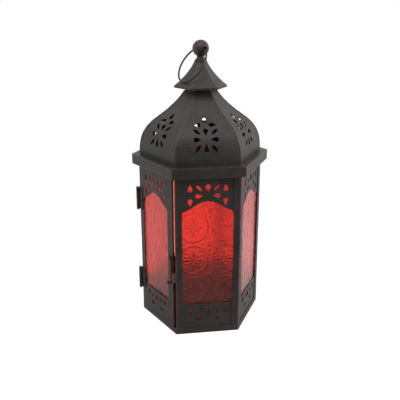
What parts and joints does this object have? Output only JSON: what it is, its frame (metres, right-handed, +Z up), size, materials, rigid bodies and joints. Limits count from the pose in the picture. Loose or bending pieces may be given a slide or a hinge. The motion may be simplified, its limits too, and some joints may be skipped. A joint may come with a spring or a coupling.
{
  "type": "candle lantern",
  "caption": "Six-sided pierced metal fanous candle lantern with embossed red glass panes, a hinged side door with a swing latch, a pierced dome and a loose hanging ring.",
  "frame": {"origin": "centre of the underside of the base, where the lantern stands", "axes": "+Z up to the ball and ring, -Y out of the front side, -X toward the door hinge corner"},
  "size_m": [0.146, 0.1264, 0.3],
  "materials": {
    "frame_metal": "matt black paint over steel sheet, rubbed copper-brown on folds and edges",
    "cap_metal": "matt black paint, rubbed on the ridges",
    "latch_metal": "black paint worn to copper-brown",
    "ring_wire": "satin black wire",
    "fixings": "dull plated steel",
    "dish_metal": "matt black paint",
    "pressed_glass": "red stained glass with a pressed relief of rings and flowers"
  },
  "bodies": {
    "lantern": {"base_pan": "frame_metal", "candle_dish": "dish_metal", "post_front_left": "frame_metal", "post_front_right": "frame_metal", "post_right": "frame_metal", "post_back_right": "frame_metal", "post_back_left": "frame_metal", "post_left": "frame_metal", "top_rail": "frame_metal", "panel_front": "frame_metal", "panel_front_right": "frame_metal", "panel_back_right": "frame_metal", "panel_back": "frame_metal", "panel_back_left": "frame_metal", "glass_front": "pressed_glass", "glass_front_right": "pressed_glass", "glass_back_right": "pressed_glass", "glass_back": "pressed_glass", "glass_back_left": "pressed_glass", "hinge_upper_fixed_leaf": "frame_metal", "hinge_upper_pin": "fixings", "hinge_lower_fixed_leaf": "frame_metal", "hinge_lower_pin": "fixings", "latch_keeper": "latch_metal", "roof_skirt": "frame_metal", "dome_gore_front": "frame_metal", "dome_gore_front_right": "frame_metal", "dome_gore_back_right": "frame_metal", "dome_gore_back": "frame_metal", "dome_gore_back_left": "frame_metal", "dome_gore_front_left": "frame_metal", "dome_top_plate": "frame_metal", "spacer_tube": "fixings", "cap": "cap_metal", "finial": "cap_metal", "finial_washer": "fixings", "finial_nut": "fixings"},
    "door": {"door_panel": "frame_metal", "door_glass": "pressed_glass", "hinge_upper_door_leaf": "frame_metal", "hinge_lower_door_leaf": "frame_metal", "latch_rivet": "fixings"},
    "latch": {"latch_lever": "latch_metal"},
    "ring": {"hanging_ring": "ring_wire"}
  },
  "joints": [
    {"name": "door_hinge", "type": "hinge", "parent": "lantern", "child": "door", "pos_m": [-0.06815, 0, 0.0885], "axis": [0, 0, -1], "range_deg": [0, 180]},
    {"name": "latch_pivot", "type": "hinge", "parent": "door", "child": "latch", "pos_m": [-0.03741, -0.04951, 0.085], "axis": [-0.866, -0.5, 0], "range_deg": [-180, 11]},
    {"name": "ring_swing", "type": "hinge", "parent": "lantern", "child": "ring", "pos_m": [0, 0, 0.2915], "axis": [-0.4384, 0.8988, 0], "range_deg": [0, 290]}
  ]
}
